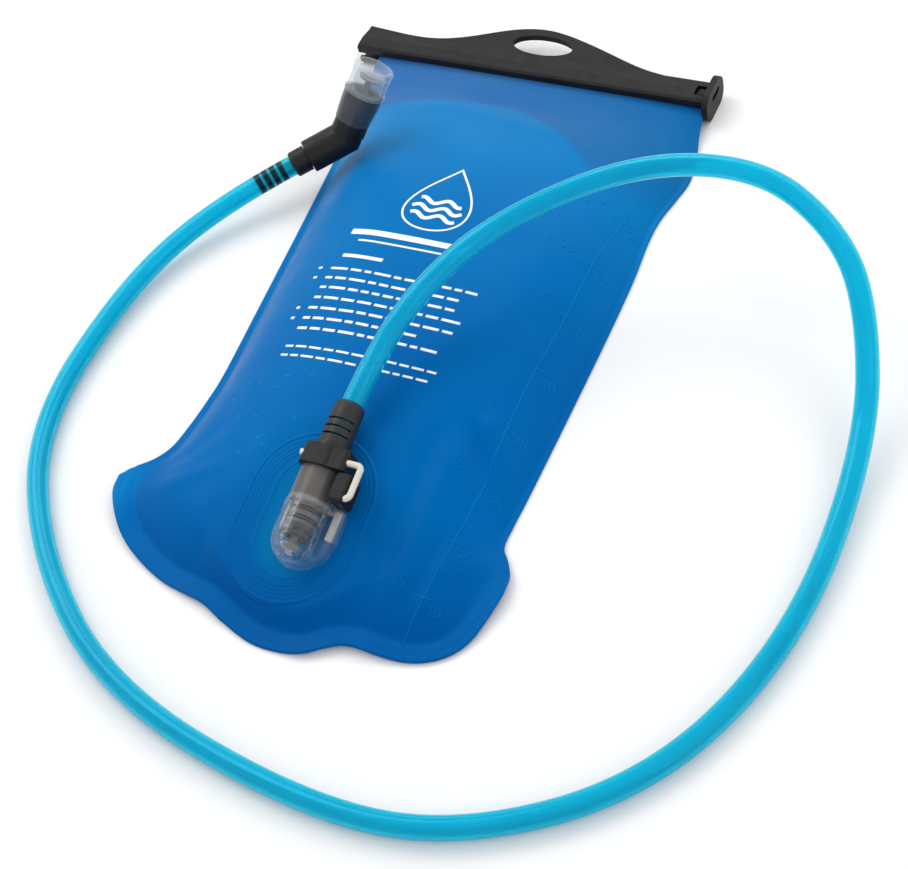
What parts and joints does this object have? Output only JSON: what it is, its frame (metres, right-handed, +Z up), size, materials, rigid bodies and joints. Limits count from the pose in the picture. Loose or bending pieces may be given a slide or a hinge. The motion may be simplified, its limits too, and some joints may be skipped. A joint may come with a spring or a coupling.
{
  "type": "hydration bladder",
  "caption": "Soft film drink bladder lying flat, with slide closure, quick-release port, drink hose and elbowed bite valve.",
  "frame": {"origin": "on the surface the bladder lies on, under the middle of the box round the bag and its slide closure", "axes": "+Y from the port towards the slide closure, +X across the bag towards the closure's end stop, +Z up off the surface"},
  "size_m": [0.3547, 0.4097, 0.0662],
  "materials": {
    "film_blue": "satin translucent TPU film",
    "weld_blue": "satin welded TPU",
    "closure_black": "fine matt extrusion",
    "moulded_black": "satin moulding",
    "clear_port": "clear rigid plastic",
    "natural_pom": "unpigmented acetal",
    "seal_rubber": "soft rubber",
    "relief_rubber": "soft moulded",
    "valve_grey": "moulded",
    "spring_steel": "drawn wire",
    "hose_cyan": "clear tinted TPU tube",
    "silicone": "translucent silicone"
  },
  "bodies": {
    "bag": {"front_panel": "film_blue", "back_panel": "film_blue", "folded_mouth": "film_blue", "port_flange": "weld_blue", "port_body": "clear_port", "port_collar": "moulded_black", "lock_fork": "natural_pom", "port_seat": "seal_rubber", "valve_spring": "spring_steel"},
    "closure": {"closure_channel": "closure_black", "end_stop": "closure_black"},
    "latch": {"release_button": "moulded_black", "latch_clip": "natural_pom"},
    "poppet": {"port_poppet": "valve_grey"},
    "plug": {"hose_plug": "moulded_black", "plug_oring_rear": "seal_rubber", "plug_oring_front": "seal_rubber", "hose_relief": "relief_rubber", "drink_hose": "hose_cyan", "upper_barb": "moulded_black", "swivel_oring": "seal_rubber"},
    "bite_valve": {"swivel_elbow": "moulded_black", "valve_stem": "valve_grey", "mouthpiece": "silicone"}
  },
  "joints": [
    {"name": "closure_slide", "type": "slide", "parent": "bag", "child": "closure", "axis": [1, 0, 0], "range_m": [0, 0.185]},
    {"name": "latch_press", "type": "slide", "parent": "bag", "child": "latch", "axis": [-1, 0, 0], "range_m": [0, 0.0015], "stiffness_N_per_m": 800},
    {"name": "plug_pull", "type": "slide", "parent": "bag", "child": "plug", "axis": [0, 0.9781, 0.2079], "range_m": [0, 0.038]},
    {"name": "poppet_close", "type": "slide", "parent": "bag", "child": "poppet", "axis": [0, 0.9781, 0.2079], "range_m": [0, 0.003]},
    {"name": "elbow_swivel", "type": "hinge", "parent": "plug", "child": "bite_valve", "pos_m": [-0.1002, 0.0421, 0.014], "axis": [0.6927, 0.7077, 0.1389], "range_deg": [-90, 75]}
  ],
  "couplings": [
    {"joint": "poppet_close", "follows": "plug_pull", "ratio": 0.078947}
  ]
}
